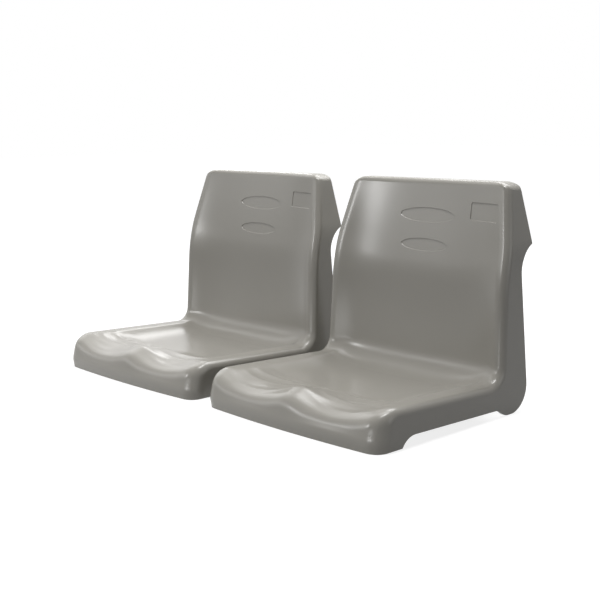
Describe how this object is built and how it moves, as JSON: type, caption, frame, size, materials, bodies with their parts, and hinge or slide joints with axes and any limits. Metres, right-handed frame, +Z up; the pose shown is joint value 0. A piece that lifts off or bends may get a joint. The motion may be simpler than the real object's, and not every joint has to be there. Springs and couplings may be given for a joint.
{
  "type": "stadium seat",
  "caption": "Moulded plastic stadium seats with high backs, scooped lips and deep skirts, side by side, each on a steel saddle for a beam.",
  "frame": {"origin": "middle of the row, on the surface on which the lips and heels of the shells stand", "axes": "+X along the row, +Z up, -Y the way a sitter faces"},
  "size_m": [0.962, 0.4416, 0.4245],
  "materials": {
    "shell_plastic": "satin warm grey, moulded in colour",
    "zinc_steel": "zinc plated",
    "insert_brass": "turned"
  },
  "bodies": {
    "root": {"left_seat_shell": "shell_plastic", "left_saddle": "zinc_steel", "left_insert_1": "insert_brass", "left_washer_1": "zinc_steel", "left_screw_1": "zinc_steel", "left_insert_2": "insert_brass", "left_washer_2": "zinc_steel", "left_screw_2": "zinc_steel", "left_insert_3": "insert_brass", "left_washer_3": "zinc_steel", "left_screw_3": "zinc_steel", "left_insert_4": "insert_brass", "left_washer_4": "zinc_steel", "left_screw_4": "zinc_steel", "right_seat_shell": "shell_plastic", "right_saddle": "zinc_steel", "right_insert_1": "insert_brass", "right_washer_1": "zinc_steel", "right_screw_1": "zinc_steel", "right_insert_2": "insert_brass", "right_washer_2": "zinc_steel", "right_screw_2": "zinc_steel", "right_insert_3": "insert_brass", "right_washer_3": "zinc_steel", "right_screw_3": "zinc_steel", "right_insert_4": "insert_brass", "right_washer_4": "zinc_steel", "right_screw_4": "zinc_steel"}
  },
  "joints": []
}
